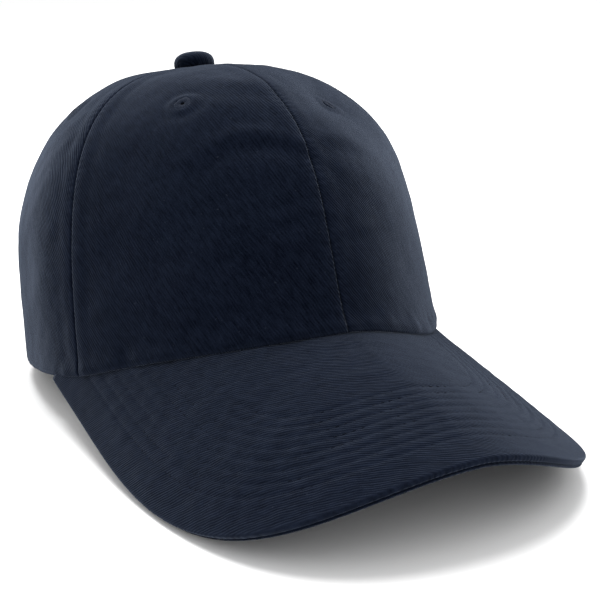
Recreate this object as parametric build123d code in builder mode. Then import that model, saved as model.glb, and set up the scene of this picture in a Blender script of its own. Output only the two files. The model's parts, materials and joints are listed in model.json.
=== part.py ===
"""Six-panel baseball cap with a curved bill and a strap with a flip buckle.

The pieces are drawn in the crown's own frame: the rim of the sides and back lies near Z = 0,
the bill points to -Y and the wearer's left is +X. At the end the whole cap is tipped back, so
that it stands on Z = 0 on the two corners of its bill and on the back of its rim.
Angles round the crown are in degrees from the front seam, positive towards the wearer's left.
"""
import os
from math import asin, copysign, cos, degrees, hypot, radians, sin, sqrt

from build123d import *

os.makedirs("parts", exist_ok=True)

# ---------------------------------------------------------------- driving dimensions (mm)
# Crown plan at the rim
crown_half_width = 81.0
crown_front_depth = 100.5
crown_rear_depth = 102.0
front_draw_in = 0.06  # share by which the plan is drawn in, halfway from front to side
rear_draw_in = -0.03

# Crown meridians: height of the apex, and the shape of the curve at front, side and rear
crown_height = 111.0
apex_setback = 12.5
foot_steepness = (0.384, 0.685, 0.545)
foot_lean = (0.305, 0.019, -0.034)
top_fullness = (1.02, 0.85, 0.74)
apex_hole_radius = 3.0

# Seams
front_side_seam = 68.0
side_rear_seam = 124.0
seam_gap = 0.15  # from each panel's edge to the middle of its seam
layer_gap = 0.3  # between one layer of cloth and the next

# Cloth layers
cloth_thickness = 0.9
buckram_thickness = 0.7
buckram_height = 74.0
buckram_foot = 2.5  # height of its lower edge above the rim
buckram_side_inset = 4.0
tape_thickness = 0.5
tape_width = 14.0
tape_foot = 6.0  # height of the tapes' lower ends above the rim
sweatband_thickness = 1.4
sweatband_height = 32.0
sweatband_start = 1.0  # angle at which each half starts, by the front seam
sweatband_reach = 172.0  # angle up to which it is drawn, before the opening is cut

# Eyelets
eyelet_rise = 0.655  # share of the way up a panel
front_eyelet_angle = 30.0  # round the crown from the front seam
eyelet_bore_radius = 1.6
eyelet_outer_radius = 3.0
eyelet_proud = 0.4  # how far an eyelet stands out on each side of the cloth

# Bill
bill_radius = 96.0  # of the arch, at the top face
bill_pitch = 21.0  # degrees below the rim's plane
bill_front_rise = 11.0  # how much higher the rim is at the front seam
bill_half_width = 94.5  # along the arch
bill_front_length = 83.0  # from the front seam to the edge
bill_widest = -33.0  # where the sides start to round off, measured like the length
bill_roundness = 2.8
bill_end_angle = 81.0
bill_back_reach = 80.0
bill_cover_thickness = 0.7
bill_board_thickness = 2.2
bill_board_inset = 1.2
bill_layer_gap = 0.05
bill_seam_gap = 1.4  # between the bill and the foot of the crown
bill_tuck = 1.8  # how far the bill runs in under the crown's wall

# Button
button_radius = 8.2
button_height = 5.6
button_cloth = 0.7
button_shell_thickness = 0.5
button_fit = 0.1
button_post_radius = 1.4
button_washer_radius = 6.0
button_washer_thickness = 0.6
button_rivet = 0.8  # length of the post below the washer

# Rear opening and its binding
opening_half_width = 44.0
opening_height = 50.0
binding_width = 9.0
binding_thickness = 0.6
binding_spare = 8.0  # degrees drawn beyond the binding before it is cut to shape

# Strap
strap_width = 19.0
strap_thickness = 1.4
strap_foot = 5.0  # height of its lower edge above the rim
strap_hidden_sewn = 26.0  # length inside the hem on the wearer's right
strap_hidden_free = 10.0  # length tucked in on the wearer's left
strap_clearance = 0.3

# Flip buckle
metal_thickness = 1.1
buckle_angle = 18.0  # from the back of the cap to the lever's pin
buckle_back = 5.0  # length of the frame behind the pin, towards the tab
buckle_front = 14.0  # length of the frame before the pin
ear_length = 3.6  # of the upright ears, each side of the pin
lever_length = 19.0
lever_lift = 3.2  # from the strap's outer face to the pin's centre
hub_radius = 1.7
pin_radius = 0.8
pin_fit = 0.05
cam_reach = 0.2  # clearance left under the closed cam
cam_half_width = 0.6
bar_radius = 0.9
tab_thickness = 0.8
tab_width = 15.0
tab_hidden = 12.0  # length of the tab inside the hem

# How finely the free curves are drawn
panel_rows = 15
panel_columns = 11
sweatband_rows = 5
sweatband_columns = 17
binding_columns = 21
outline_points = 13
ring_points = 72
halvings = 30
angle_step = 0.5
rise_step = 0.004
inward_dip = 0.5  # how much a layer's inward direction points down, beside 1 level

# ---------------------------------------------------------------- derived sizes
bill_thickness = 2 * bill_cover_thickness + bill_board_thickness + 2 * bill_layer_gap
buckram_depth = cloth_thickness + layer_gap / 3
tape_depth = buckram_depth + buckram_thickness + layer_gap / 2
binding_depth = cloth_thickness + layer_gap
tab_depth = binding_depth + binding_thickness + layer_gap
strap_depth = tab_depth + tab_thickness + strap_clearance + strap_thickness / 2
sweatband_front_depth = tape_depth + tape_thickness + layer_gap


# ---------------------------------------------------------------- shape of the crown
def steps(first, last, count):
    """Evenly spaced values from first to last."""
    return [first + (last - first) * i / (count - 1) for i in range(count)]


def mixed(angle, front_side_rear):
    """A value that changes smoothly from the front, past the side, to the rear."""
    front, side, rear = front_side_rear
    share = cos(radians(angle)) ** 2
    end = front if abs(angle) < 90 else rear
    return end * share + side * (1 - share)


def plan_point(angle):
    """The crown's outline in its rim plane."""
    across = sin(radians(angle))
    along = cos(radians(angle))
    depth = crown_front_depth if along > 0 else crown_rear_depth
    draw_in = front_draw_in if along > 0 else rear_draw_in
    reach = 1 / hypot(across / crown_half_width, along / depth)
    reach *= 1 - draw_in * sin(radians(2 * angle)) ** 2
    return reach * across, -reach * along


def bill_top(x, y):
    """Height of the bill's top face, an arch that slopes down towards the front."""
    x = min(abs(x), 0.999 * bill_radius)
    drop = bill_radius - sqrt(bill_radius**2 - x**2)
    pitch = radians(bill_pitch)
    return bill_front_rise - drop / cos(pitch) + (y + crown_front_depth) * sin(pitch) / cos(pitch)


def rim_height(angle):
    """The rim rides over the bill at the front and runs level round the back."""
    clamped = min(abs(angle), bill_end_angle)
    height = bill_top(*plan_point(clamped)) + bill_seam_gap
    return (height + hypot(height, bill_seam_gap)) / 2


def outer_point(angle, rise):
    """A point on the crown's outer face; rise runs from 0 at the rim to 1 at the apex."""
    x, y = plan_point(angle)
    foot = rim_height(angle)
    steepness = mixed(angle, foot_steepness)
    lean = mixed(angle, foot_lean)
    fullness = mixed(angle, top_fullness)
    left = 1 - rise
    reach = left**3 + 3 * left**2 * rise * (1 - lean * steepness) + 3 * left * rise**2 * fullness
    climb = 3 * left**2 * rise * steepness + 3 * left * rise**2 + rise**3
    return Vector(
        x * reach,
        apex_setback * (1 - reach) + y * reach,
        foot + (crown_height - foot) * climb,
    )


def outward(angle, rise):
    """The crown's unit normal."""
    round_it = outer_point(angle + angle_step, rise) - outer_point(angle - angle_step, rise)
    up_it = outer_point(angle, rise + rise_step) - outer_point(angle, rise - rise_step)
    return round_it.cross(up_it).normalized()


def wall_point(angle, rise, depth):
    """A point inside the crown's wall, at this depth below its outer face."""
    return outer_point(angle, rise) - outward(angle, rise) * depth


def rise_at_height(angle, height):
    """The rise at which the wall is this far above the rim, found by halving."""
    low, high = 0.0, 1.0
    for _ in range(halvings):
        middle = (low + high) / 2
        if outer_point(angle, middle).Z - rim_height(angle) < height:
            low = middle
        else:
            high = middle
    return low


def apex_distance(angle, rise):
    """Distance from the axis of the button."""
    point = outer_point(angle, rise)
    return hypot(point.X, point.Y - apex_setback)


def rise_at_radius(angle, radius):
    """The rise at which the wall is this far from the button's axis."""
    low, high = 0.5, 1.0
    for _ in range(halvings):
        middle = (low + high) / 2
        if apex_distance(angle, middle) > radius:
            low = middle
        else:
            high = middle
    return low


def sheet(grid, angle, thickness):
    """A layer of cloth: a smooth face through the grid, thickened towards the head."""
    face = Face.make_surface_from_array_of_points(grid)
    inward = (-sin(radians(angle)), cos(radians(angle)), -inward_dip)
    with BuildPart() as layer:
        thicken(face, amount=thickness, normal_override=inward)
    return layer.part


def panel_grid(first, last, depth, foot, top, edge_gap):
    """Points between two seams, each side set back by edge_gap along the wall."""
    grid = []
    for share in steps(0, 1, panel_rows):
        row = []
        for across in steps(0, 1, panel_columns):
            angle = first + (last - first) * across
            rise = foot(angle) + (top(angle) - foot(angle)) * share
            set_back = degrees(asin(edge_gap / apex_distance(angle, rise)))
            inner_angle = angle + set_back * (1 - 2 * across)
            row.append(wall_point(inner_angle, rise, depth))
        grid.append(row)
    return grid


def at_rim(angle):
    """Panels start at the rim itself."""
    return 0.0


def at_apex_hole(angle):
    """Panels end at the hole for the button's post."""
    return rise_at_radius(angle, apex_hole_radius)


# ---------------------------------------------------------------- tools for cutting
with BuildPart() as opening_space:
    with BuildSketch(Plane.XZ):
        Ellipse(opening_half_width, opening_height)
    extrude(amount=-2 * crown_rear_depth)

with BuildPart() as binding_space:
    with BuildSketch(Plane.XZ):
        Ellipse(opening_half_width + binding_width, opening_height + binding_width)
        Ellipse(opening_half_width, opening_height, mode=Mode.SUBTRACT)
    extrude(amount=-2 * crown_rear_depth)

pieces = {}


def finish(name, part):
    """Names a finished piece and puts it on the bench."""
    part.label = name
    pieces[name] = part


# ---------------------------------------------------------------- crown panels and eyelets
panel_seams = {
    "front_panel_left": (0, front_side_seam),
    "side_panel_left": (front_side_seam, side_rear_seam),
    "rear_panel_left": (side_rear_seam, 180),
    "rear_panel_right": (-180, -side_rear_seam),
    "side_panel_right": (-side_rear_seam, -front_side_seam),
    "front_panel_right": (-front_side_seam, 0),
}
for name, (first, last) in panel_seams.items():
    middle = (first + last) / 2
    cloth = sheet(
        panel_grid(first, last, 0, at_rim, at_apex_hole, seam_gap), middle, cloth_thickness
    )
    eyelet_angle = copysign(front_eyelet_angle, middle) if "front" in name else middle
    normal = outward(eyelet_angle, eyelet_rise)
    eyelet_base = outer_point(eyelet_angle, eyelet_rise)
    eyelet_plane = Plane(origin=eyelet_base + normal * eyelet_proud, z_dir=normal)
    with BuildPart() as panel:
        add(cloth)
        with Locations(eyelet_plane):
            Hole(eyelet_outer_radius, depth=cloth_thickness + 2 * eyelet_proud)
        if "rear" in name:
            add(opening_space.part, mode=Mode.SUBTRACT)
    finish(name, panel.part)

    with BuildPart() as eyelet:
        with BuildSketch(eyelet_plane):
            Circle(eyelet_outer_radius)
            Circle(eyelet_bore_radius, mode=Mode.SUBTRACT)
        extrude(amount=-cloth_thickness - 2 * eyelet_proud)
    finish(name.replace("panel", "eyelet"), eyelet.part)

# ---------------------------------------------------------------- buckram behind the front
for name, first, last in (
    ("buckram_left", 0, front_side_seam),
    ("buckram_right", -front_side_seam, 0),
):
    buckram = sheet(
        panel_grid(
            first,
            last,
            buckram_depth,
            lambda angle: rise_at_height(angle, buckram_foot),
            lambda angle: rise_at_height(angle, buckram_height),
            buckram_side_inset,
        ),
        (first + last) / 2,
        buckram_thickness,
    )
    finish(name, buckram)

# ---------------------------------------------------------------- seam tapes
narrowest_panel = min(front_side_seam, side_rear_seam - front_side_seam, 180 - side_rear_seam)
tape_end_radius = tape_width / 2 / sin(radians(narrowest_panel / 2)) + 2 * layer_gap
tape_seams = {
    "seam_tape_front": (0, tape_foot),
    "seam_tape_front_left": (front_side_seam, tape_foot),
    "seam_tape_rear_left": (side_rear_seam, tape_foot),
    "seam_tape_rear": (180, opening_height + binding_width + layer_gap),
    "seam_tape_rear_right": (-side_rear_seam, tape_foot),
    "seam_tape_front_right": (-front_side_seam, tape_foot),
}
for name, (seam, foot_height) in tape_seams.items():
    foot_rise = rise_at_height(seam, foot_height)
    top_rise = rise_at_radius(seam, tape_end_radius)
    grid = []
    for rise in steps(foot_rise, top_rise, panel_rows):
        spread = degrees(asin(tape_width / 2 / apex_distance(seam, rise)))
        grid.append([wall_point(seam + spread * side, rise, tape_depth) for side in (-1, 0, 1)])
    finish(name, sheet(grid, seam, tape_thickness))


# ---------------------------------------------------------------- sweatband
# The strap stands upright behind the band, so the wall's draw-in up to its top edge is added.
wall_foot = outer_point(180, 0)
wall_at_strap_top = outer_point(180, rise_at_height(180, strap_foot + strap_width))
strap_inner_depth = strap_depth + strap_thickness / 2 + wall_foot.Y - wall_at_strap_top.Y
sweatband_rear_depth = strap_inner_depth + layer_gap


def sweatband_depth(angle):
    """The band stands further in at the back, where the strap runs behind it."""
    share = min(max((abs(angle) - front_side_seam) / (side_rear_seam - front_side_seam), 0), 1)
    blend = share * share * (3 - 2 * share)
    return sweatband_front_depth + (sweatband_rear_depth - sweatband_front_depth) * blend


for name, side in (("sweatband_left", 1), ("sweatband_right", -1)):
    grid = []
    for level in steps(layer_gap, sweatband_height, sweatband_rows):
        row = []
        for angle in steps(sweatband_start, sweatband_reach, sweatband_columns):
            rise = rise_at_height(side * angle, level)
            row.append(wall_point(side * angle, rise, sweatband_depth(angle)))
        grid.append(row)
    face = Face.make_surface_from_array_of_points(grid)
    towards_head = -outward(side * 90, 0.1)
    with BuildPart() as band:
        thicken(face, amount=sweatband_thickness, normal_override=towards_head)
        add(opening_space.part, mode=Mode.SUBTRACT)
    finish(name, band.part)

# ---------------------------------------------------------------- binding of the opening
binding_reach = degrees(asin((opening_half_width + binding_width) / crown_rear_depth))
binding_reach += binding_spare
binding_grid = [
    [
        wall_point(180 + angle, rise_at_height(180 + angle, height), binding_depth)
        for angle in steps(-binding_reach, binding_reach, binding_columns)
    ]
    for height in steps(layer_gap, opening_height + 2 * binding_width, panel_rows)
]
binding_sheet = sheet(binding_grid, 180, binding_thickness)
with BuildPart() as opening_binding:
    add(binding_sheet)
    add(binding_space.part, mode=Mode.INTERSECT)
finish("opening_binding", opening_binding.part)

# ---------------------------------------------------------------- bill
pitch = radians(bill_pitch)
bill_root = Vector(0, -crown_front_depth, bill_front_rise)
bill_forward = Vector(0, -cos(pitch), -sin(pitch))
arch_plane = Plane(origin=bill_root, x_dir=(1, 0, 0), z_dir=bill_forward)
outline_plane = Plane(origin=bill_root, x_dir=(1, 0, 0), z_dir=(0, sin(pitch), -cos(pitch)))


def bill_edge(inset, depth):
    """Half of the bill's outline at this depth, from its back corner to its middle, seen square on."""
    half_width = bill_half_width - inset
    length = bill_front_length - inset - bill_widest
    points = [(half_width, -bill_back_reach)]
    for turn in steps(90, 0, outline_points):
        across = half_width * sin(radians(turn)) ** (2 / bill_roundness)
        points.append((across, bill_widest + length * cos(radians(turn)) ** (2 / bill_roundness)))
    radius = bill_radius - depth
    return [(radius * sin(across / bill_radius), along) for across, along in points]


with BuildPart() as crown_core:
    with BuildSketch(Plane.XY.offset(-crown_height)):
        with BuildLine():
            turns = steps(-180, 180, ring_points + 1)[:-1]
            ring = [wall_point(angle, 0, bill_tuck) for angle in turns]
            Spline([(point.X, point.Y) for point in ring], periodic=True)
        make_face()
    extrude(amount=2 * crown_height)

bill_layers = {
    "bill_top_cover": (0, bill_cover_thickness, 0),
    "bill_board": (
        bill_cover_thickness + bill_layer_gap,
        bill_cover_thickness + bill_layer_gap + bill_board_thickness,
        bill_board_inset,
    ),
    "bill_bottom_cover": (bill_thickness - bill_cover_thickness, bill_thickness, 0),
}
for name, (top, bottom, inset) in bill_layers.items():
    edge = bill_edge(inset, bottom)
    mirrored = [(-across, along) for across, along in reversed(edge[:-1])]
    with BuildPart() as layer:
        with BuildSketch(arch_plane):
            with Locations((0, -bill_radius)):
                Circle(bill_radius - top)
                Circle(bill_radius - bottom, mode=Mode.SUBTRACT)
            Rectangle(
                2 * bill_radius, bill_radius, align=(Align.CENTER, Align.MAX), mode=Mode.INTERSECT
            )
        extrude(amount=bill_front_length)
        extrude(layer.faces().sort_by(Axis.Y)[-1], amount=bill_back_reach)
        with BuildSketch(outline_plane.offset(-bill_radius)):
            with BuildLine():
                Line(edge[0], edge[1])
                Spline(edge[1:] + mirrored[:-1])
                Line(mirrored[-2], mirrored[-1])
                Line(mirrored[-1], edge[0])
            make_face()
        extrude(amount=2 * bill_radius, mode=Mode.INTERSECT)
        add(crown_core.part, mode=Mode.SUBTRACT)
    finish(name, layer.part)

# ---------------------------------------------------------------- button
apex = Vector(0, apex_setback, crown_height)
button_plane = Plane(origin=apex, x_dir=(1, 0, 0), z_dir=(0, -1, 0))
button_axis = Axis(apex, (0, 0, 1))


def cap_radius(width, height):
    """Radius of the sphere whose cap has this half width and height."""
    return (width**2 + height**2) / (2 * height)


def dome(name, radius, height, thickness, base):
    """A hollow cap of a sphere, open below."""
    outer = cap_radius(radius, height)
    inner = cap_radius(radius - thickness, height - thickness)
    with BuildPart() as shell:
        with BuildSketch(button_plane):
            with Locations((0, base + height - outer)):
                Circle(outer)
            with Locations((0, base + height - thickness - inner)):
                Circle(inner, mode=Mode.SUBTRACT)
            with Locations((0, base)):
                Rectangle(radius, height, align=(Align.MIN, Align.MIN), mode=Mode.INTERSECT)
        revolve(axis=button_axis)
    finish(name, shell.part)


shell_radius = button_radius - button_cloth - button_fit
shell_height = button_height - button_cloth - button_fit
dome("button_cover", button_radius, button_height, button_cloth, layer_gap)
dome("button_shell", shell_radius, shell_height, button_shell_thickness, layer_gap)

washer_top = -cloth_thickness - layer_gap
post_foot = washer_top - button_washer_thickness - button_rivet
post_top = shell_height - button_shell_thickness
with BuildPart() as button_post:
    with BuildSketch(Plane(apex + Vector(0, 0, post_foot))):
        Circle(button_post_radius)
    extrude(amount=post_top - post_foot)
finish("button_post", button_post.part)

with BuildPart() as button_washer:
    with BuildSketch(Plane(apex + Vector(0, 0, washer_top))):
        Circle(button_washer_radius)
        Circle(button_post_radius + pin_fit, mode=Mode.SUBTRACT)
    extrude(amount=-button_washer_thickness)
finish("button_washer", button_washer.part)

# ---------------------------------------------------------------- strap
# The strap lies on a circle through three points inside the wall, so it can slide along itself.
strap_level = rise_at_height(180, strap_foot + strap_width)
back_point = wall_point(180, strap_level, strap_depth)
edge_angle = 180 - degrees(asin(opening_half_width / crown_rear_depth))
edge_level = rise_at_height(edge_angle, strap_foot + strap_width)
edge_point = wall_point(edge_angle, edge_level, strap_depth)
sagitta = back_point.Y - edge_point.Y
strap_radius = (edge_point.X**2 + sagitta**2) / (2 * sagitta)
strap_centre = back_point.Y - strap_radius
strap_base = rim_height(180) + strap_foot
strap_top = strap_base + strap_width
opening_turn = degrees(asin(opening_half_width / strap_radius))


def turn_of(length):
    """Degrees round the strap's circle for a length along it."""
    return degrees(length / strap_radius)


def polar(radius, turn):
    """A point round the strap's centre; turn is 0 at the back, positive towards +X."""
    return radius * sin(radians(turn)), strap_centre + radius * cos(radians(turn))


def curved_bar(inner, outer, first, last, base, height):
    """A flat bar bent round the strap's circle."""
    with BuildPart() as bar:
        with BuildSketch(Plane.XY.offset(base)):
            with BuildLine():
                middle = (first + last) / 2
                ThreePointArc(polar(outer, first), polar(outer, middle), polar(outer, last))
                Line(polar(outer, last), polar(inner, last))
                ThreePointArc(polar(inner, last), polar(inner, middle), polar(inner, first))
                Line(polar(inner, first), polar(outer, first))
            make_face()
        extrude(amount=height)
    return bar.part


strap_inner = strap_radius - strap_thickness / 2
strap_outer = strap_radius + strap_thickness / 2
strap_first = -opening_turn - turn_of(strap_hidden_sewn)
strap_last = opening_turn + turn_of(strap_hidden_free)
finish(
    "strap",
    curved_bar(strap_inner, strap_outer, strap_first, strap_last, strap_base, strap_width),
)

# ---------------------------------------------------------------- flip buckle
pin_turn = buckle_angle
pin_reach = strap_outer + lever_lift
pin_centre = polar(pin_reach, pin_turn)
back_turn = pin_turn + turn_of(buckle_back)
front_turn = pin_turn - turn_of(buckle_front)
floor_outer = strap_inner - strap_clearance
floor_inner = floor_outer - metal_thickness
ear_outer = pin_reach + hub_radius
ear_base = strap_base - strap_clearance - metal_thickness
frame_width = strap_width + 2 * strap_clearance + 2 * metal_thickness

tab_inner = strap_outer + strap_clearance
tab_outer = tab_inner + tab_thickness
bar_reach = tab_inner + tab_thickness + pin_fit + bar_radius
bar_turn = back_turn + turn_of(bar_radius)
bar_centre = polar(bar_reach, bar_turn)

floor_bar = curved_bar(floor_inner, floor_outer, front_turn, back_turn, ear_base, frame_width)
rail_parts = []
ear_parts = []
for base in (ear_base, strap_top + strap_clearance):
    rail_parts.append(
        curved_bar(floor_inner, strap_outer, front_turn, back_turn, base, metal_thickness)
    )
    ear_parts.append(
        curved_bar(
            floor_inner,
            ear_outer,
            pin_turn - turn_of(ear_length),
            bar_turn + turn_of(2 * bar_radius),
            base,
            metal_thickness,
        )
    )
with BuildPart() as buckle_frame:
    add(floor_bar)
    add(rail_parts)
    add(ear_parts)
    with BuildSketch(Plane.XY.offset(ear_base)):
        with Locations(pin_centre):
            Circle(pin_radius)
    extrude(amount=frame_width, mode=Mode.SUBTRACT)
    with BuildSketch(Plane.XY.offset(ear_base)):
        with Locations(bar_centre):
            Circle(bar_radius)
    extrude(amount=frame_width)
finish("buckle_frame", buckle_frame.part)

with BuildPart() as buckle_pin:
    with BuildSketch(Plane.XY.offset(ear_base)):
        with Locations(pin_centre):
            Circle(pin_radius)
    extrude(amount=frame_width)
finish("buckle_pin", buckle_pin.part)

lever_base = strap_base
plate_outer = ear_outer
plate_inner = plate_outer - metal_thickness
lever_plate = curved_bar(
    plate_inner,
    plate_outer,
    pin_turn - turn_of(lever_length),
    pin_turn,
    lever_base,
    strap_width,
)
cam_foot = strap_outer + cam_reach
cam_block = curved_bar(
    cam_foot,
    pin_reach,
    pin_turn - turn_of(cam_half_width),
    pin_turn + turn_of(cam_half_width),
    lever_base,
    strap_width,
)
with BuildPart() as buckle_lever:
    add(lever_plate)
    add(cam_block)
    with BuildSketch(Plane.XY.offset(lever_base)):
        with Locations(pin_centre):
            Circle(hub_radius)
    extrude(amount=strap_width)
    with BuildSketch(Plane.XY.offset(lever_base)):
        with Locations(pin_centre):
            Circle(pin_radius + pin_fit)
    extrude(amount=strap_width, mode=Mode.SUBTRACT)
finish("buckle_lever", buckle_lever.part)

tab_base = (strap_base + strap_top - tab_width) / 2
tab_last = opening_turn + turn_of(tab_hidden)
tab_strip = curved_bar(tab_inner, tab_outer, bar_turn, tab_last, tab_base, tab_width)
with BuildPart() as buckle_tab:
    add(tab_strip)
    with BuildSketch(Plane.XY.offset(tab_base)):
        with Locations(bar_centre):
            Circle(bar_radius + pin_fit + tab_thickness)
            Circle(bar_radius + pin_fit, mode=Mode.SUBTRACT)
    extrude(amount=tab_width)
finish("buckle_tab", buckle_tab.part)


# ---------------------------------------------------------------- stand the cap on Z = 0
def lowest(points, tip):
    """The lowest of these points once the front has been tipped up by tip degrees."""
    return min(point.Z * cos(radians(tip)) - point.Y * sin(radians(tip)) for point in points)


bill_rim = []
for across, along in bill_edge(0, bill_thickness):
    arch_drop = sqrt((bill_radius - bill_thickness) ** 2 - across**2) - bill_radius
    bill_rim.append(arch_plane.from_local_coords((across, arch_drop, along)))
crown_rim = [wall_point(angle, 0, 0) for angle in steps(side_rear_seam, edge_angle, ring_points)]
low_tip, high_tip = 0.0, 30.0
for _ in range(halvings):
    tip_angle = (low_tip + high_tip) / 2
    if lowest(bill_rim, tip_angle) < lowest(crown_rim, tip_angle):
        low_tip = tip_angle
    else:
        high_tip = tip_angle

tipped = Location((0, 0, 0), (-tip_angle, 0, 0))
boxes = [part.moved(tipped).bounding_box() for part in pieces.values()]
middle_y = (min(box.min.Y for box in boxes) + max(box.max.Y for box in boxes)) / 2
lift = -lowest(bill_rim + crown_rim, tip_angle)
standing = Location((0, -middle_y, lift), (-tip_angle, 0, 0))
for name, part in pieces.items():
    export_step(part.moved(standing), f"parts/{name}.step")


def report_axis(title, x, y, z):
    """Prints a joint's position and direction in the standing frame."""
    start = (standing * Location((x, y, z))).position
    end = (standing * Location((x, y, z + 1))).position
    print(title, "at", tuple(round(value, 3) for value in start), end=" ")
    print("axis", tuple(round(value, 5) for value in end - start))


print("pieces", len(pieces), "tip", round(tip_angle, 3), "lift", round(lift, 3))
print("shift y", round(-middle_y, 3), "strap radius", round(strap_radius, 3))
report_axis("strap turn", 0, strap_centre, strap_base)
report_axis("lever pin", pin_centre[0], pin_centre[1], strap_base)
report_axis("apex", 0, apex_setback, crown_height)
report_axis("head opening", 0, 0, 0)
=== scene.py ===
import json
import math

import bpy
import numpy as np
from mathutils import Matrix, Vector


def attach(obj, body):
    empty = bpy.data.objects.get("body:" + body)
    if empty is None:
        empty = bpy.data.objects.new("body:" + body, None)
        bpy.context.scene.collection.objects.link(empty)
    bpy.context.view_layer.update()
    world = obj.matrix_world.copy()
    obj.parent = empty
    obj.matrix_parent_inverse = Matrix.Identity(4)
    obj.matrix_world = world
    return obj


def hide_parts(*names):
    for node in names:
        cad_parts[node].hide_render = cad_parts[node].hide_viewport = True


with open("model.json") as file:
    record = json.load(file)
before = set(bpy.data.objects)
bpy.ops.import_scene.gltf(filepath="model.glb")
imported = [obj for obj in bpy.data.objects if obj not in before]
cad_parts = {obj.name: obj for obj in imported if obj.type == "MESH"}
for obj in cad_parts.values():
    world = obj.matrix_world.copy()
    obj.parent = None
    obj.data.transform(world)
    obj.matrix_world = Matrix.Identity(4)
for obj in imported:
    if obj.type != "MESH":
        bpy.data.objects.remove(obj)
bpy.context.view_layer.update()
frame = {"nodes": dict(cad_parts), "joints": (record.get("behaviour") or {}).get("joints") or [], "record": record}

# The cap is drawn in millimetres in the crown's own frame: the rim near Z = 0, the bill towards
# -Y, the wearer's left towards +X. Angles run round the crown from the front seam, positive
# towards the wearer's left. place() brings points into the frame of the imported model.
opening = next(m for m in frame["record"]["mounts"] if m["name"] == "head_opening")
ORIGIN = np.array(opening["pos_m"], float)
UP = -np.array(opening["axis"], float)
UP /= np.linalg.norm(UP)
ACROSS = np.array((1.0, 0.0, 0.0))
BACK = np.cross(UP, ACROSS)
MM = 0.001


def place(points):
    """Crown frame in mm to the model's frame in metres."""
    p = np.asarray(points, float) * MM
    return ORIGIN + p[..., :1] * ACROSS + p[..., 1:2] * BACK + p[..., 2:3] * UP


def unplace(points):
    """The model's frame in metres to the crown frame in mm."""
    p = (np.asarray(points, float) - ORIGIN) / MM
    return np.stack([p @ ACROSS, p @ BACK, p @ UP], -1)


# ------------------------------------------------------------------------------ camera, floor
def look(eye, aim, roll):
    """A camera turn that looks from eye to aim, rolled by roll degrees."""
    back = (Vector(eye) - Vector(aim)).normalized()
    turn = back.to_track_quat("Z", "Y").to_matrix()
    return turn @ Matrix.Rotation(math.radians(roll), 3, "Z")


def add_light(name, kind, at, aim, size, power, tint=(1, 1, 1)):
    """A soft area light."""
    data = bpy.data.lights.new(name, kind)
    data.shape = "DISK"
    data.size = size
    data.energy = power
    data.color = tint
    lamp = bpy.data.objects.new(name, data)
    lamp.location = at
    lamp.rotation_euler = look(at, aim, 0).to_euler()
    bpy.context.collection.objects.link(lamp)


camera_data = bpy.data.cameras.new("camera")
camera_data.lens = 78.24
camera_data.sensor_width = 36
camera_data.clip_start = 0.01
camera_data.clip_end = 100
camera = bpy.data.objects.new("camera", camera_data)
camera.location = (-0.20014, -0.42836, 0.17444)
camera.rotation_euler = look(camera.location, (0.01232, 0.00104, 0.03963), -0.89).to_euler()
bpy.context.collection.objects.link(camera)
bpy.context.scene.camera = camera
bpy.context.scene.view_settings.view_transform = "Standard"


# ------------------------------------------------------------------------------ materials
def add_node(tree, kind, values=None, **settings):
    """Adds a node; values are numbers or sockets for its inputs, by name or index."""
    node = tree.nodes.new(kind)
    for key, value in settings.items():
        setattr(node, key, value)
    for key, value in (values or {}).items():
        if isinstance(value, bpy.types.NodeSocket):
            tree.links.new(value, node.inputs[key])
        else:
            node.inputs[key].default_value = value
    return node


def maths(tree, operation, first, second=0.0, third=0.0):
    """One arithmetic step."""
    values = {0: first, 1: second}
    if operation in ("MULTIPLY_ADD", "SMOOTH_MIN"):
        values[2] = third
    return add_node(tree, "ShaderNodeMath", values, operation=operation).outputs[0]


def add_times(tree, value, factor, base):
    """value x factor + base."""
    return maths(tree, "MULTIPLY_ADD", value, factor, base)


def mix_colour(tree, share, first, second):
    """Mixes two colours, each a triple or a socket."""
    node = add_node(tree, "ShaderNodeMix", {0: share}, data_type="RGBA")
    for index, value in ((6, first), (7, second)):
        if isinstance(value, bpy.types.NodeSocket):
            tree.links.new(value, node.inputs[index])
        else:
            node.inputs[index].default_value = (*value, 1)
    return node.outputs[2]


def scaled(tree, vector, scale, turn=0.0, shift=(0, 0, 0)):
    """A vector turned about Z by turn degrees, then scaled."""
    if turn:
        spin = {"Vector": vector, "Rotation": (0, 0, math.radians(-turn))}
        vector = add_node(tree, "ShaderNodeMapping", spin).outputs[0]
    values = {"Vector": vector, "Scale": scale, "Location": shift}
    return add_node(tree, "ShaderNodeMapping", values).outputs[0]


def noise(tree, vector, scale, detail=2.0, rough=0.5):
    """Smooth noise, about 0.5 in the mean."""
    values = {"Vector": vector, "Scale": scale, "Detail": detail, "Roughness": rough}
    return add_node(tree, "ShaderNodeTexNoise", values).outputs[0]


def spread(tree, value, low, high):
    """Brings low..high to 0..1 and cuts off what lies outside."""
    values = {0: value, 1: low, 2: high, 3: 0.0, 4: 1.0}
    return add_node(tree, "ShaderNodeMapRange", values).outputs[0]


def new_material(name):
    """An empty node material with its shader."""
    material = bpy.data.materials.new(name)
    material.use_nodes = True
    tree = material.node_tree
    tree.nodes.clear()
    shader = add_node(tree, "ShaderNodeBsdfPrincipled")
    out = add_node(tree, "ShaderNodeOutputMaterial")
    tree.links.new(shader.outputs[0], out.inputs[0])
    return material, tree, shader


def finish_shader(tree, shader, colour, height, depth, strength, **constants):
    """Colour and bump come from nodes; everything else is a constant on the shader."""
    tree.links.new(colour, shader.inputs["Base Color"])
    values = {"Height": height, "Distance": depth, "Strength": strength}
    bump = add_node(tree, "ShaderNodeBump", values)
    tree.links.new(bump.outputs[0], shader.inputs["Normal"])
    for key, value in constants.items():
        shader.inputs[key.replace("_", " ")].default_value = value


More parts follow.
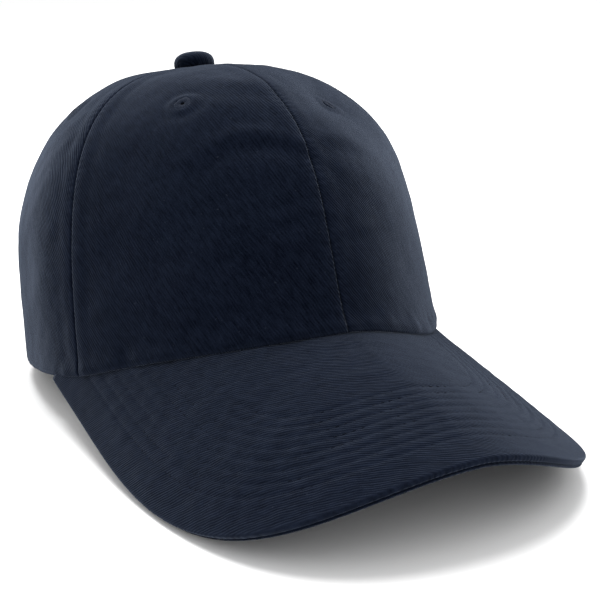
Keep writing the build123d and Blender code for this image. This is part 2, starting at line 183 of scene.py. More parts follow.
def attribute(tree, name):
    """A mesh attribute."""
    return add_node(tree, "ShaderNodeAttribute", attribute_name=name)


def twill_material(name, turn, dark, light, rib=0.92 * MM, sheen=0.2, bump=0.7):
    """Brushed twill: slanting ribs of uneven yarns, with painted shade darkening the grooves between them, a soft
    nap and a little lint.
    """
    material, tree, shader = new_material(name)
    cloth = attribute(tree, "cloth").outputs["Vector"]
    worn = attribute(tree, "worn").outputs["Fac"]
    along_ribs = scaled(tree, cloth, (1, 1, 1), turn)
    wander = noise(tree, scaled(tree, cloth, (140, 140, 140)), 1.0, 1.0)
    apart = add_node(tree, "ShaderNodeSeparateXYZ", {0: along_ribs})
    phase = add_times(tree, apart.outputs[1], math.tau / rib, 0.0)
    phase = add_times(tree, wander, 9.0, phase)
    rib_relief_and_shade = add_times(tree, maths(tree, "SINE", phase), 0.5, 0.5)
    yarn_scale = (0.17 / rib, 0.95 / rib, 400)
    yarns = noise(tree, scaled(tree, along_ribs, yarn_scale), 1.0, 2.0, 0.6)
    nap = noise(tree, scaled(tree, cloth, (2600, 2600, 900)), 1.0, 2.0, 0.65)
    cloudy = noise(tree, scaled(tree, cloth, (55, 55, 30)), 1.0, 3.0, 0.55)
    patches = noise(tree, scaled(tree, cloth, (330, 330, 60)), 1.0, 2.0, 0.6)
    # Painted shade: the rib wave darkens the base colour in the grooves between ribs; the same wave also gives the
    # bump below.
    tone = add_times(tree, rib_relief_and_shade, 0.2, -0.06)
    parts = ((yarns, 0.36, 0.4), (nap, 0.36, 0.24), (patches, 0.36, 0.14), (cloudy, 0.3, 0.16))
    for value, low, share in parts:
        tone = add_times(tree, spread(tree, value, low, 1 - low), share, tone)
    colour = mix_colour(tree, tone, dark, light)
    pale = tuple(min(1.0, 1.9 * c + 0.008) for c in light)
    colour = mix_colour(tree, maths(tree, "MULTIPLY", worn, 0.55), colour, pale)
    flecks = noise(tree, scaled(tree, cloth, (900, 900, 500)), 1.0, 0.0)
    lint = spread(tree, flecks, 0.845, 0.885)
    colour = mix_colour(tree, maths(tree, "MULTIPLY", lint, 0.25), colour, (0.03, 0.036, 0.05))
    height = add_times(tree, rib_relief_and_shade, 0.5, maths(tree, "MULTIPLY", yarns, 0.7))
    height = add_times(tree, nap, 0.5, height)
    finish_shader(
        tree, shader, colour, height, 0.25 * MM, bump, Roughness=0.92, Specular_IOR_Level=0.0,
        Sheen_Weight=sheen, Sheen_Roughness=0.4, Sheen_Tint=(0.6, 0.7, 0.9, 1),
    )
    return material


def yarn_material(name, dark, light, twist=0.5 * MM, sheen=0.12, rough=0.7):
    """Thread and tape: fine parallel filaments, twisted at an even pitch."""
    material, tree, shader = new_material(name)
    cloth = attribute(tree, "cloth").outputs["Vector"]
    slant = add_node(tree, "ShaderNodeSeparateXYZ", {0: scaled(tree, cloth, (1, 1, 1), 35)})
    wave = maths(tree, "SINE", maths(tree, "MULTIPLY", slant.outputs[0], math.tau / twist))
    wave = add_times(tree, wave, 0.5, 0.5)
    fuzz = noise(tree, scaled(tree, cloth, (1500, 1500, 1500)), 1.0, 2.0, 0.6)
    tone = add_times(tree, wave, 0.5, maths(tree, "MULTIPLY", fuzz, 0.5))
    colour = mix_colour(tree, tone, dark, light)
    height = add_times(tree, fuzz, 0.4, wave)
    finish_shader(
        tree, shader, colour, height, 0.12 * MM, 0.5, Roughness=rough, Specular_IOR_Level=0.03,
        Sheen_Weight=sheen, Sheen_Roughness=0.4, Sheen_Tint=(0.7, 0.76, 0.88, 1),
    )
    return material


def weave_material(name, dark, light, pitch):
    """Buckram: an open plain weave stiffened with size."""
    material, tree, shader = new_material(name)
    cloth = attribute(tree, "cloth").outputs["Vector"]
    apart = add_node(tree, "ShaderNodeSeparateXYZ", {0: cloth})
    threads = []
    for axis in (0, 1):
        wave = maths(tree, "SINE", maths(tree, "MULTIPLY", apart.outputs[axis], math.tau / pitch))
        threads.append(add_times(tree, wave, 0.5, 0.5))
    net = maths(tree, "MAXIMUM", threads[0], threads[1])
    stain = noise(tree, scaled(tree, cloth, (90, 90, 90)), 1.0, 3.0)
    tone = add_times(tree, spread(tree, net, 0.45, 0.9), 0.75, 0.0)
    tone = add_times(tree, stain, 0.35, tone)
    colour = mix_colour(tree, tone, dark, light)
    finish_shader(
        tree, shader, colour, net, 0.3 * MM, 0.8, Roughness=0.85, Specular_IOR_Level=0.3,
        Sheen_Weight=0.1,
    )
    return material


def metal_material(name, clean, dull, roughness):
    """Stamped metal with fine brushing and tarnish in patches."""
    material, tree, shader = new_material(name)
    where = add_node(tree, "ShaderNodeTexCoord").outputs["Object"]
    brushing = noise(tree, scaled(tree, where, (900, 900, 12000)), 1.0, 2.0)
    tarnish = noise(tree, scaled(tree, where, (260, 260, 260)), 1.0, 4.0, 0.6)
    tone = add_times(tree, brushing, 0.25, spread(tree, tarnish, 0.4, 0.75))
    colour = mix_colour(tree, tone, clean, dull)
    rough = add_times(tree, tarnish, 0.3, roughness)
    tree.links.new(rough, shader.inputs["Roughness"])
    finish_shader(tree, shader, colour, brushing, 0.03 * MM, 0.4, Metallic=1.0)
    return material


def board_material(name):
    """Moulded plastic with a faint grain."""
    material, tree, shader = new_material(name)
    where = add_node(tree, "ShaderNodeTexCoord").outputs["Object"]
    grain = noise(tree, scaled(tree, where, (1800, 1800, 1800)), 1.0, 2.0)
    cloud = noise(tree, scaled(tree, where, (60, 60, 60)), 1.0, 2.0)
    colour = mix_colour(tree, cloud, (0.7, 0.69, 0.65), (0.8, 0.8, 0.77))
    finish_shader(tree, shader, colour, grain, 0.05 * MM, 0.4, Roughness=0.45)
    return material


def floor_material(name):
    """Pale paper with an all but invisible tooth."""
    material, tree, shader = new_material(name)
    where = add_node(tree, "ShaderNodeTexCoord").outputs["Object"]
    tooth = noise(tree, scaled(tree, where, (900, 900, 900)), 1.0, 2.0)
    colour = mix_colour(tree, tooth, (0.955, 0.955, 0.955), (0.975, 0.975, 0.975))
    finish_shader(
        tree, shader, colour, tooth, 0.02 * MM, 0.2, Roughness=0.9, Specular_IOR_Level=0.1
    )
    return material


NAVY_DARK = (0.0006, 0.0012, 0.0036)
NAVY_LIGHT = (0.0064, 0.0094, 0.0185)
CROWN_TWILL = twill_material("crown_twill", -58, NAVY_DARK, NAVY_LIGHT)
BILL_TWILL = twill_material("bill_twill", 30, NAVY_DARK, NAVY_LIGHT)
INNER_TWILL = twill_material("inner_twill", -58, (0.0016, 0.0023, 0.005), (0.006, 0.008, 0.0145))
BAND_TWILL = twill_material(
    "band_twill", 45, (0.0025, 0.0034, 0.0065), (0.009, 0.0115, 0.019), 0.7 * MM
)
THREAD = yarn_material("thread", (0.0008, 0.0015, 0.004), (0.0032, 0.0052, 0.0115), sheen=0.08)
EYELET_THREAD = yarn_material("eyelet_thread", (0.0025, 0.0042, 0.0095), (0.013, 0.0185, 0.033))
TAPE = yarn_material("tape", (0.003, 0.004, 0.008), (0.011, 0.014, 0.023), 0.8 * MM)
BUCKRAM = weave_material("buckram", (0.3, 0.29, 0.26), (0.72, 0.71, 0.66), 1.3 * MM)
BRASS = metal_material("brass", (0.62, 0.44, 0.19), (0.33, 0.22, 0.1), 0.22)
STEEL = metal_material("steel", (0.6, 0.6, 0.6), (0.4, 0.4, 0.41), 0.25)
BOARD = board_material("board")
PAPER = floor_material("paper")

# ------------------------------------------------------------------------------ shape of the cap
HALF_WIDTH = 81.0
FRONT_DEPTH = 100.5
REAR_DEPTH = 102.0
CROWN_HEIGHT = 111.0
APEX_BACK = 12.5
DRAW_IN = (0.06, -0.03)
STEEPNESS = (0.384, 0.685, 0.545)
LEAN = (0.305, 0.019, -0.034)
FULLNESS = (1.02, 0.85, 0.74)
FRONT_SEAM, SIDE_SEAM = 68.0, 124.0
HOLE_RADIUS = 3.0
CLOTH = 0.9
BUCKRAM_DEPTH, BUCKRAM_THICK = 1.0, 0.7
TAPE_DEPTH, TAPE_THICK, TAPE_WIDTH = 1.85, 0.5, 14.0
BINDING_DEPTH, BINDING_THICK, BINDING_WIDTH = 1.2, 0.6, 9.0
BAND_THICK, BAND_HEIGHT = 1.4, 32.0
OPENING_WIDTH, OPENING_HEIGHT = 44.0, 50.0
BILL_RADIUS = 96.0
BILL_PITCH = math.radians(21)
BILL_RISE = 11.0
BILL_LENGTH, BILL_WIDEST = 83.0, -33.0
BILL_WIDTHS, BILL_ROUNDS = (94.5, 91.0), (2.8, 2.4)
BILL_THICK = 3.7
JOINT_GAP, RIM_ROUND = 0.3, 1.4
SIDE_SAG = 2.3


def steps(first, last, count):
    return np.linspace(first, last, count)


def bell(x, width):
    """1 at 0, falling away smoothly."""
    return np.exp(-((x / width) ** 2))


def ease(x):
    """0 up to 0, 1 from 1, smooth between."""
    x = np.clip(x, 0, 1)
    return x * x * (3 - 2 * x)


def waves(a, b, seed, size, count=8):
    """Soft unevenness: sine waves in all directions, about 1 high."""
    draw = np.random.default_rng(seed)
    total = 0.0
    for _ in range(count):
        turn = draw.uniform(0, math.tau)
        length = size * draw.uniform(0.6, 1.7)
        phase = draw.uniform(0, math.tau)
        total = total + np.sin((a * np.cos(turn) + b * np.sin(turn)) * math.tau / length + phase)
    return total / math.sqrt(count)


def mixed(angle, values):
    share = np.cos(angle) ** 2
    return np.where(np.cos(angle) > 0, values[0], values[2]) * share + values[1] * (1 - share)


def plan(angle):
    s, c = np.sin(angle), np.cos(angle)
    depth = np.where(c > 0, FRONT_DEPTH, REAR_DEPTH)
    draw_in = np.where(c > 0, DRAW_IN[0], DRAW_IN[1])
    reach = (1 - draw_in * np.sin(2 * angle) ** 2) / np.hypot(s / HALF_WIDTH, c / depth)
    return reach * s, -reach * c


def droop(x):
    """The bill is bent down a little more on the wearer's left than on the right."""
    return 5.5 * np.sin(math.pi * np.clip(x / 80, 0, 1) ** 1.4)


def bill_top(x, y):
    bent = droop(x)
    x = np.minimum(np.abs(x), 0.999 * BILL_RADIUS)
    drop = BILL_RADIUS - np.sqrt(BILL_RADIUS**2 - x**2) + bent
    return BILL_RISE - drop / math.cos(BILL_PITCH) + (y + FRONT_DEPTH) * math.tan(BILL_PITCH)


def rim(angle):
    """Height of the crown's edge: on the bill in front, and a little low at the sides."""
    end = math.radians(81)
    sag = SIDE_SAG * bell(np.degrees(np.arccos(np.cos(angle))) - 98, 21)
    height = bill_top(*plan(np.clip(angle, -end, end))) + JOINT_GAP + sag
    return (height + np.hypot(height, RIM_ROUND)) / 2 - sag


def outer(angle, rise):
    x, y = plan(angle)
    foot = rim(angle)
    steep, lean, full = mixed(angle, STEEPNESS), mixed(angle, LEAN), mixed(angle, FULLNESS)
    left = 1 - rise
    reach = left**3 + 3 * left**2 * rise * (1 - lean * steep) + 3 * left * rise**2 * full
    climb = 3 * left**2 * rise * steep + 3 * left * rise**2 + rise**3
    z = foot + (CROWN_HEIGHT - foot) * climb
    return np.stack([x * reach, APEX_BACK * (1 - reach) + y * reach, z], -1)


def outward(angle, rise):
    step, lift = math.radians(0.5), 0.004
    rise = np.minimum(rise, 0.995)
    across = outer(angle + step, rise) - outer(angle - step, rise)
    up = outer(angle, rise + lift) - outer(angle, rise - lift)
    normal = np.cross(across, up)
    return normal / np.linalg.norm(normal, axis=-1, keepdims=True)


# Dents and folds in the cloth: angle, rise, length along, width, tilt, arch, mm outwards
FOLDS = [
    (-13, 0.548, 13, 0.024, 0.0, 0.0003, 0.7), (-12, 0.502, 13, 0.026, 0.0, 0.0003, -0.8),
    (10, 0.520, 9, 0.024, -0.001, 0.0002, 0.45), (10, 0.476, 9, 0.026, -0.001, 0.0002, -0.5),
    (-8, 0.318, 10, 0.016, 0.0016, 0.0002, 0.28), (-8, 0.288, 10, 0.018, 0.0016, 0.0002, -0.32),
    (7, 0.272, 8, 0.016, 0.0014, 0.0, 0.2), (7, 0.248, 8, 0.016, 0.0014, 0.0, -0.22),
    (-13, 0.685, 15, 0.034, -0.0012, 0.0, -0.55), (-10, 0.745, 16, 0.034, -0.0012, 0.0, 0.5),
    (22, 0.650, 9, 0.034, 0.002, 0.0, -0.5), (-36, 0.42, 12, 0.05, 0.002, 0.0, -0.45),
    (-50, 0.24, 13, 0.034, -0.002, 0.0, -0.4), (-88, 0.62, 9, 0.05, 0.001, 0.0, -0.6),
    (-96, 0.2, 8, 0.06, 0.001, 0.0, -0.8),
]


def folds(angle, rise):
    """Dents and soft folds of the cloth itself."""
    turn = np.degrees(angle)
    total = 0.0
    for at, level, reach, width, tilt, arch, amount in FOLDS:
        line = level + tilt * (turn - at) - arch * (turn - at) ** 2
        total = total + amount * bell(turn - at, reach) * bell(rise - line, width)
    return total


# Where the worn cap differs from a smooth shell: angle, rise, reach of each, and mm outwards
SLACK = [
    (24, 0.68, 20, 0.13, -2.6), (36, 0.66, 20, 0.11, -2.6), (-145, 0.84, 36, 0.1, 2.4),
    (-104, 0.62, 20, 0.14, -0.9), (-104, 0.32, 24, 0.14, 0.9), (-98, 0.04, 26, 0.12, -1.6),
    (52, 0.42, 20, 0.15, 1.4),
]


def slack(angle, rise):
    """Broad slackness of the crown, shared by all its layers."""
    turn = np.degrees(angle)
    total = 0.0
    for at, level, reach, climb, amount in SLACK:
        total = total + amount * bell(turn - at, reach) * bell(rise - level, climb)
    return total + folds(angle, rise)


def wall(angle, rise, depth=0.0):
    """A point of the crown's wall, depth below its outer face."""
    push = np.asarray(slack(angle, rise) - depth)
    return outer(angle, rise) + outward(angle, rise) * push[..., None]


def rise_at_height(angle, height):
    angle, height = np.broadcast_arrays(angle, height)
    low, high = np.zeros(angle.shape), np.ones(angle.shape)
    for _ in range(26):
        middle = (low + high) / 2
        below = outer(angle, middle)[..., 2] - rim(angle) < height
        low, high = np.where(below, middle, low), np.where(below, high, middle)
    return low


def apex_distance(angle, rise):
    point = outer(angle, rise)
    return np.hypot(point[..., 0], point[..., 1] - APEX_BACK)


def rise_at_radius(angle, radius):
    low, high = np.full(np.shape(angle), 0.5), np.ones(np.shape(angle))
    for _ in range(26):
        middle = (low + high) / 2
        outside = apex_distance(angle, middle) > radius
        low, high = np.where(outside, middle, low), np.where(outside, high, middle)
    return low


# ------------------------------------------------------------------------------ mesh building
def make_object(name, points, faces, cloth, worn, material, slot, body="root", replaces=()):
    """A piece in the crown frame, with its cloth coordinates in metres."""
    mesh = bpy.data.meshes.new(name)
    mesh.from_pydata(place(points).tolist(), [], [tuple(face) for face in faces])
    mesh.attributes.new("cloth", "FLOAT_VECTOR", "POINT")
    mesh.attributes["cloth"].data.foreach_set("vector", (cloth * MM).ravel())
    mesh.attributes.new("worn", "FLOAT", "POINT")
    mesh.attributes["worn"].data.foreach_set("value", np.asarray(worn, float).ravel())
    mesh.shade_smooth()
    mesh.materials.append(material)
    mesh.update()
    made = bpy.data.objects.new(name, mesh)
    bpy.context.collection.objects.link(made)
    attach(made, body)
    if replaces:
        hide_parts(*replaces)
    return made


def shell(outside, inside, hole=None):
    """Points and faces of a closed layer: two grids that share their border.

    hole marks cells that are left out; the two faces are joined round it."""
    rows, columns = outside.shape[:2]
    upper = np.arange(rows * columns).reshape(rows, columns)
    lower = upper.copy()
    inner = np.arange((rows - 2) * (columns - 2)).reshape(rows - 2, columns - 2)
    lower[1:-1, 1:-1] = inner + rows * columns
    points = np.concatenate([outside.reshape(-1, 3), inside[1:-1, 1:-1].reshape(-1, 3)])
    keep = np.ones((rows - 1, columns - 1), bool) if hole is None else ~hole

    def cells(index):
        corners = [index[:-1, :-1], index[:-1, 1:], index[1:, 1:], index[1:, :-1]]
        return np.stack(corners, -1)

    faces = cells(upper)[keep].tolist() + cells(lower)[keep][:, ::-1].tolist()
    for i, j in np.argwhere(~keep):
        ring = [(i, j), (i, j + 1), (i + 1, j + 1), (i + 1, j)]
        beside = [(i - 1, j), (i, j + 1), (i + 1, j), (i, j - 1)]
        for side in range(4):
            if keep[beside[side]]:
                a, b = ring[side], ring[(side + 1) % 4]
                faces.append([upper[a], upper[b], lower[b], lower[a]])
    return points, faces


def both(values):
    """Values on a shell's outer grid, then on the inner points of its inner one."""
    tail = values.shape[2:]
    return np.concatenate([values.reshape(-1, *tail), values[1:-1, 1:-1].reshape(-1, *tail)])


def grid_lengths(points, centre_column):
    """Cloth coordinates of a grid: mm along each row from one column, and mm up each column."""
    over = np.linalg.norm(np.diff(points, axis=1), axis=-1)
    up = np.linalg.norm(np.diff(points, axis=0), axis=-1)
    u = np.pad(np.cumsum(over, 1), ((0, 0), (1, 0)))
    v = np.pad(np.cumsum(up, 0), ((1, 0), (0, 0)))
    return u - u[:, centre_column : centre_column + 1], v


def edge_steps(fine, reach, width, pitch):
    """Distances across a piece: close together near both edges, then about pitch apart."""
    near = np.array([d for d in fine if d < min(reach, width / 2)])
    middle = np.linspace(near[-1], width - near[-1], max(3, round((width - 2 * near[-1]) / pitch)))
    return np.concatenate([near, middle[1:-1], (width - near)[::-1]])


FINE = (0.0, 0.12, 0.3, 0.55, 0.9, 1.35, 2.0, 2.9, 4.1, 5.6)


def layer(name, middle, normal, thick, material, slot, seed=0, worn=None, **kind):
    """A piece of webbing or tape: its middle grid, made thick, with rounded edges."""
    rows, columns = middle.shape[:2]
    u, v = grid_lengths(middle, columns // 2)
    half_u = np.abs(u - (u[:, :1] + u[:, -1:]) / 2)
    to_side = (u[:, -1:] - u[:, :1]) / 2 - half_u
    to_end = np.minimum(v, v[-1:] - v)
    edge = np.clip(np.minimum(to_side, to_end) / (thick * 0.6), 0, 1)
    swell = np.sqrt(1 - (1 - edge) ** 2)[..., None] * thick / 2
    points, faces = shell(middle + normal * swell, middle - normal * swell)
    cloth = both(np.stack([u, v, np.full_like(u, 7.0 * seed)], -1))
    shade = np.zeros(len(points)) if worn is None else both(worn)
    return make_object(name, points, faces, cloth, shade, material, slot, **kind)


def thread(name, runs, radius=0.2, stitch=2.2, pitch=2.9, **kind):
    """Rows of stitches: each run is a path and its normals, in the crown frame."""
    spans = np.array((-1.0, -0.85, -0.45, 0.0, 0.45, 0.85, 1.0)) * stitch / 2
    fat = np.array((0.0, 0.62, 0.95, 1.0, 0.95, 0.62, 0.0)) * radius
    dip = np.array((-1.3, -0.55, 0.1, 0.3, 0.1, -0.55, -1.3)) * radius
    sides, rings = 6, len(spans) - 2
    turns = [side * math.tau / sides for side in range(sides)]
    shape = [(spans[0], 0, dip[0])]
    for span, wide, lift in list(zip(spans, fat, dip))[1:-1]:
        shape += [(span, wide * math.cos(turn), lift + wide * math.sin(turn)) for turn in turns]
    shape = np.array(shape + [(spans[-1], 0, dip[-1])])
    template, last, top = [], 1 + rings * sides, 1 + (rings - 1) * sides
    for s in range(sides):
        following = (s + 1) % sides
        for ring in range(rings - 1):
            a, b = 1 + ring * sides + s, 1 + ring * sides + following
            template.append((b, a, a + sides, b + sides))
    caps = [(0, 1 + s, 1 + (s + 1) % sides) for s in range(sides)]
    caps += [(last, top + (s + 1) % sides, top + s) for s in range(sides)]
    points, cloth, faces, count = [], [], [], 0
    for path, normals in runs:
        lengths = np.pad(np.cumsum(np.linalg.norm(np.diff(path, axis=0), axis=1)), (1, 0))
        number = max(1, int(lengths[-1] // pitch))
        centres = (np.arange(number) + 0.5) * lengths[-1] / number

        def at(s, values):
            return np.stack([np.interp(s, lengths, values[:, k]) for k in range(3)], -1)

        middle = at(centres, path)
        ahead = at(centres + 0.4, path) - at(centres - 0.4, path)
        ahead /= np.linalg.norm(ahead, axis=1, keepdims=True)
        side = np.cross(ahead, at(centres, normals))
        side /= np.linalg.norm(side, axis=1, keepdims=True)
        axes = np.stack([ahead, side, np.cross(side, ahead)], 1)
        points.append((middle[:, None] + shape @ axes).reshape(-1, 3))
        for k in range(number):
            flat = shape * (1, 1, 0) + (centres[k], 0, k * 0.37)
            cloth.append(flat)
            faces += [tuple(index + count for index in face) for face in template + caps]
            count += len(shape)
    make_object(
        name, np.concatenate(points), faces, np.concatenate(cloth), np.zeros(count), THREAD,
        "thread", **kind,
    )


# ------------------------------------------------------------------------------ rear opening
def opening_edge(turn, beyond=0.0):
    """Angle and rise of the opening's edge; turn runs from -90 to 90 degrees over its top."""
    x = (OPENING_WIDTH + beyond) * np.sin(np.radians(turn))
    z = (OPENING_HEIGHT + beyond) * np.cos(np.radians(turn))
    return wall_at(x, z)


def wall_at(x, z):
    """Angle and rise of the rear wall's point with this X and height."""
    low, high = np.full(np.shape(x), 90.0), np.full(np.shape(x), 180.0)
    for _ in range(30):
        middle = (low + high) / 2
        rise = rise_at_height(np.radians(middle), z)
        out = outer(np.radians(middle), rise)[..., 0] > np.abs(x)
        low, high = np.where(out, middle, low), np.where(out, high, middle)
    angle = np.where(x >= 0, low, 360 - low)
    return angle, rise_at_height(np.radians(angle), z)


EDGE_TURNS = steps(0, 90, 60)
edge_angles, edge_rises = opening_edge(EDGE_TURNS)
CORNER_ANGLE = edge_angles[-1]


def opening_foot(angle):
    """The rise at which a rear panel starts, above the opening or at the rim."""
    back = np.abs(angle)
    return np.where(back > CORNER_ANGLE, np.interp(back, edge_angles[::-1], edge_rises[::-1]), 0.0)


# ------------------------------------------------------------------------------ crown panels
EYELET_RISE = 0.655
FRONT_EYELET = 30.0
EYELET_HOLE = 1.9
ROUND_REACH = 92.0
PANELS = {
    "front_panel_left": (0, FRONT_SEAM),
    "side_panel_left": (FRONT_SEAM, SIDE_SEAM),
    "rear_panel_left": (SIDE_SEAM, 180),
    "rear_panel_right": (-180, -SIDE_SEAM),
    "side_panel_right": (-SIDE_SEAM, -FRONT_SEAM),
    "front_panel_right": (-FRONT_SEAM, 0),
}


def corners_of(cells):
    """The grid points that are a corner of any of these cells."""
    points = np.zeros((cells.shape[0] + 1, cells.shape[1] + 1), bool)
    for i in (0, 1):
        for j in (0, 1):
            points[i : i + cells.shape[0], j : j + cells.shape[1]] |= cells
    return points


def add_panel(name, first, last):
    """One gore of the crown: cloth turned in at its seams, eased over the fuller places."""
    seed = list(PANELS).index(name)
    rear = "rear" in name
    width = np.radians(last - first) * ROUND_REACH
    across = edge_steps(FINE, 8.0, width, 2.2) / width
    share = edge_steps((0.0, 0.12, 0.3, 0.55, 0.9, 1.4), 3.0, 158.0, 0.78) / 158.0
    if rear:
        span = abs(CORNER_ANGLE - 180) / (last - first)
        inner = np.interp(steps(0, 90, 26), EDGE_TURNS, np.abs(edge_angles - 180)) / (last - first)
        near = across[across < inner[2]]
        inner = np.concatenate([near, inner[inner > near[-1] + 0.004]])
        beyond = across[across > span + 0.012]
        across = np.concatenate([inner, beyond])
        if name.endswith("left"):
            across = (1 - across)[::-1]
    share, across = np.meshgrid(share, across, indexing="ij")
    angle = first + (last - first) * across
    foot = opening_foot(angle) if rear else np.zeros_like(angle)
    top = rise_at_radius(np.radians(angle[-1]), HOLE_RADIUS)[None]
    rise = foot + (top - foot) * share
    turn = np.radians(angle)
    gap = 0.1 / np.maximum(apex_distance(turn, rise), 3.0)
    turn = turn + gap * (1 - 2 * across)
    flat = outer(turn, rise)
    u, v = grid_lengths(flat, flat.shape[1] // 2)
    normal = outward(turn, rise)
    from_left, from_right = u - u[:, :1], u[:, -1:] - u
    to_seam = np.minimum(from_left, from_right)
    to_top = v[-1:] - v
    to_foot = v
    if rear:
        rim_line = wall(np.radians(edge_angles * (1 if first > 0 else -1)), edge_rises)
        near = np.linalg.norm(flat[:, :, None] - rim_line[None, None], axis=-1).min(-1)
        to_foot = np.minimum(near, v)
        to_foot[0] = 0
    side = np.where(from_left < from_right, 1.0, 2.0)

    turned_in = 1 - np.sqrt(1 - (1 - np.clip(to_seam / 1.1, 0, 1)) ** 2)
    hem = 1 - np.sqrt(1 - (1 - np.clip(np.minimum(to_foot, to_top) / 0.7, 0, 1)) ** 2)
    drop = np.maximum(turned_in * 0.62, hem * 0.5)
    pulls = np.sin(v * math.tau / 2.7 + 1.5 * np.sin(v / 7 + side * 2 + seed) + side)
    pulls = pulls * (0.6 + 0.4 * np.sin(v / 5.3 + seed * 2 + side * 3))
    pucker = 0.13 * pulls * bell(to_seam - 1.2, 1.7)
    allowance = 0.22 * bell(to_seam - 3.4, 2.6) - 0.12 * bell(to_seam - 7.5, 2.0)
    soft = 0.3 * waves(u, v, seed, 46) + 0.07 * waves(u, v, seed + 20, 13)
    soft = soft * ease(to_seam / 9) * ease(to_top / 12)
    root = np.abs(angle) < 76
    gather = 0.28 * waves(u, v * 0.35, seed + 40, 9.0) * bell(v - 3.0, 5.0) * root
    lip = 0.55 * bell(v - 2.4, 2.6) * root
    cloth_face = -drop + pucker + allowance + soft + gather + lip
    inner_face = np.minimum(-CLOTH, cloth_face - 0.2)
    on_border = (to_seam <= 1e-6) | (share <= 0) | (share >= 1)
    inner_face = np.where(on_border, cloth_face, inner_face)
    base = outer(turn, rise) + normal * np.asarray(slack(turn, rise))[..., None]
    outside = base + normal * cloth_face[..., None]
    inside = base + normal * inner_face[..., None]

    middle = math.radians((first + last) / 2)
    if "front" in name:
        middle = math.copysign(math.radians(FRONT_EYELET), middle)
    heart = wall(np.array(middle), np.array(EYELET_RISE))
    axis = outward(np.array(middle), np.array(EYELET_RISE))
    offset = outside - heart
    flat_offset = offset - (offset @ axis)[..., None] * axis
    reach = np.linalg.norm(flat_offset, axis=-1)
    puffy = 0.5 * bell(reach - 4.2, 1.6) - 0.25 * bell(reach - 7.5, 2.2)
    outside = outside + normal * (puffy * (share > 0.3))[..., None]
    corner_mean = (reach[:-1, :-1] + reach[1:, :-1] + reach[:-1, 1:] + reach[1:, 1:]) / 4
    hole = (corner_mean < EYELET_HOLE) & (share[:-1, :-1] > 0.3)
    on_hole, kept_beside = corners_of(hole), corners_of(~hole)
    snap = on_hole & kept_beside
    pull = ((EYELET_HOLE / np.maximum(reach, 0.05)) - 1)[..., None] * flat_offset
    outside = np.where(snap[..., None], outside + pull, outside)
    inside = np.where(snap[..., None], inside + pull, inside)
    loose = on_hole & ~kept_beside

    points, faces = shell(outside, inside, hole)
    cloth = both(np.stack([u, v, np.full_like(u, 11.0 * seed)], -1))
    worn = 0.14 * bell(to_seam - 1.5, 0.8) * (0.5 + 0.5 * pulls) + 0.2 * bell(to_foot - 0.6, 0.7)
    worn = both(np.clip(worn, 0, 1))
    if loose.any():
        gone = np.zeros(len(points), bool)
        gone[: loose.size] = loose.ravel()
        gone[loose.size :] = loose[1:-1, 1:-1].ravel()
        renumber = np.cumsum(~gone) - 1
        points, cloth, worn = points[~gone], cloth[~gone], worn[~gone]
        faces = [[int(renumber[i]) for i in face] for face in faces]
    make_object(name + "_cloth", points, faces, cloth, worn, CROWN_TWILL, "twill", replaces=(name,))
    return heart, axis


def ring_of_stitches(name, heart, axis, replaces):
    """An embroidered eyelet: satin stitches laid round a small hole."""
    around, across = 132, 15
    first = np.cross(axis, (0, 0, 1.0))
    first /= np.linalg.norm(first)
    second = np.cross(axis, first)
    turn = steps(0, math.tau, around + 1)[:-1]
    tube = steps(0, math.tau, across + 1)[:-1]
    turn, tube = np.meshgrid(turn, tube, indexing="ij")
    ridges = np.abs(np.sin(turn * 22)) * (0.8 + 0.2 * np.sin(turn * 5 + 1))
    jitter = 0.16 * np.sin(turn * 3 + 0.5) + 0.1 * np.sin(turn * 8 + 2)
    inner, wide = 0.75, 3.3 + jitter
    middle, half = (inner + wide) / 2, (wide - inner) / 2
    radius = middle + half * np.cos(tube)
    lift = 0.42 + 0.16 * ridges
    height = np.where(np.sin(tube) > 0, np.sin(tube) * lift, np.sin(tube) * 0.62) + 0.18
    points = (
        heart
        + (radius * np.cos(turn))[..., None] * first
        + (radius * np.sin(turn))[..., None] * second
        + height[..., None] * axis
    )
    index = np.arange(around * across).reshape(around, across)
    ahead, over = np.roll(index, -1, 0), np.roll(index, -1, 1)
    corner = np.roll(ahead, -1, 1)
    faces = np.stack([index, over, corner, ahead], -1).reshape(-1, 4)
    side_a = points[0, 1] - points[0, 0]
    side_b = points[1, 0] - points[0, 0]
    if np.cross(side_a, side_b) @ (points[0, 0] - heart) < 0:
        faces = faces[:, ::-1]
    cloth = np.stack([turn * 2.4, radius * 0.2, height * 0.2], -1).reshape(-1, 3)
    worn = np.zeros(around * across)
    make_object(
        name, points.reshape(-1, 3), faces.tolist(), cloth, worn, EYELET_THREAD, "thread",
        replaces=replaces,
    )


for panel, (panel_first, panel_last) in PANELS.items():
    eyelet_heart, eyelet_axis = add_panel(panel, panel_first, panel_last)
    eyelet = panel.replace("panel", "eyelet")
    ring_of_stitches(eyelet + "_stitched", eyelet_heart, eyelet_axis, (eyelet,))


# ------------------------------------------------------------------------------ crown lining
def wall_layer(name, turn, rise, depth, thick, material, slot, **kind):
    """A flat layer against the crown's wall, its outer face depth below the crown's."""
    middle = wall(turn, rise, depth + thick / 2)
    return layer(name, middle, outward(turn, rise), thick, material, slot, **kind)


for name, first, last in (("buckram_left", 0, FRONT_SEAM), ("buckram_right", -FRONT_SEAM, 0)):
    share, across = np.meshgrid(
        edge_steps(FINE[:4], 1.0, 82, 2.0) / 82, edge_steps(FINE[:4], 1.0, 100, 2.4) / 100,
        indexing="ij",
    )
    turn = np.radians(first + (last - first) * across)
    foot, top = rise_at_height(turn[0], 2.5), rise_at_height(turn[0], 74.0)
    rise = foot + (top - foot) * share
    turn = turn + np.arcsin(4.0 / apex_distance(turn, rise)) * (1 - 2 * across)
    wall_layer(
        name + "_net", turn, rise, BUCKRAM_DEPTH, BUCKRAM_THICK, BUCKRAM, "buckram",
        replaces=(name,),
    )

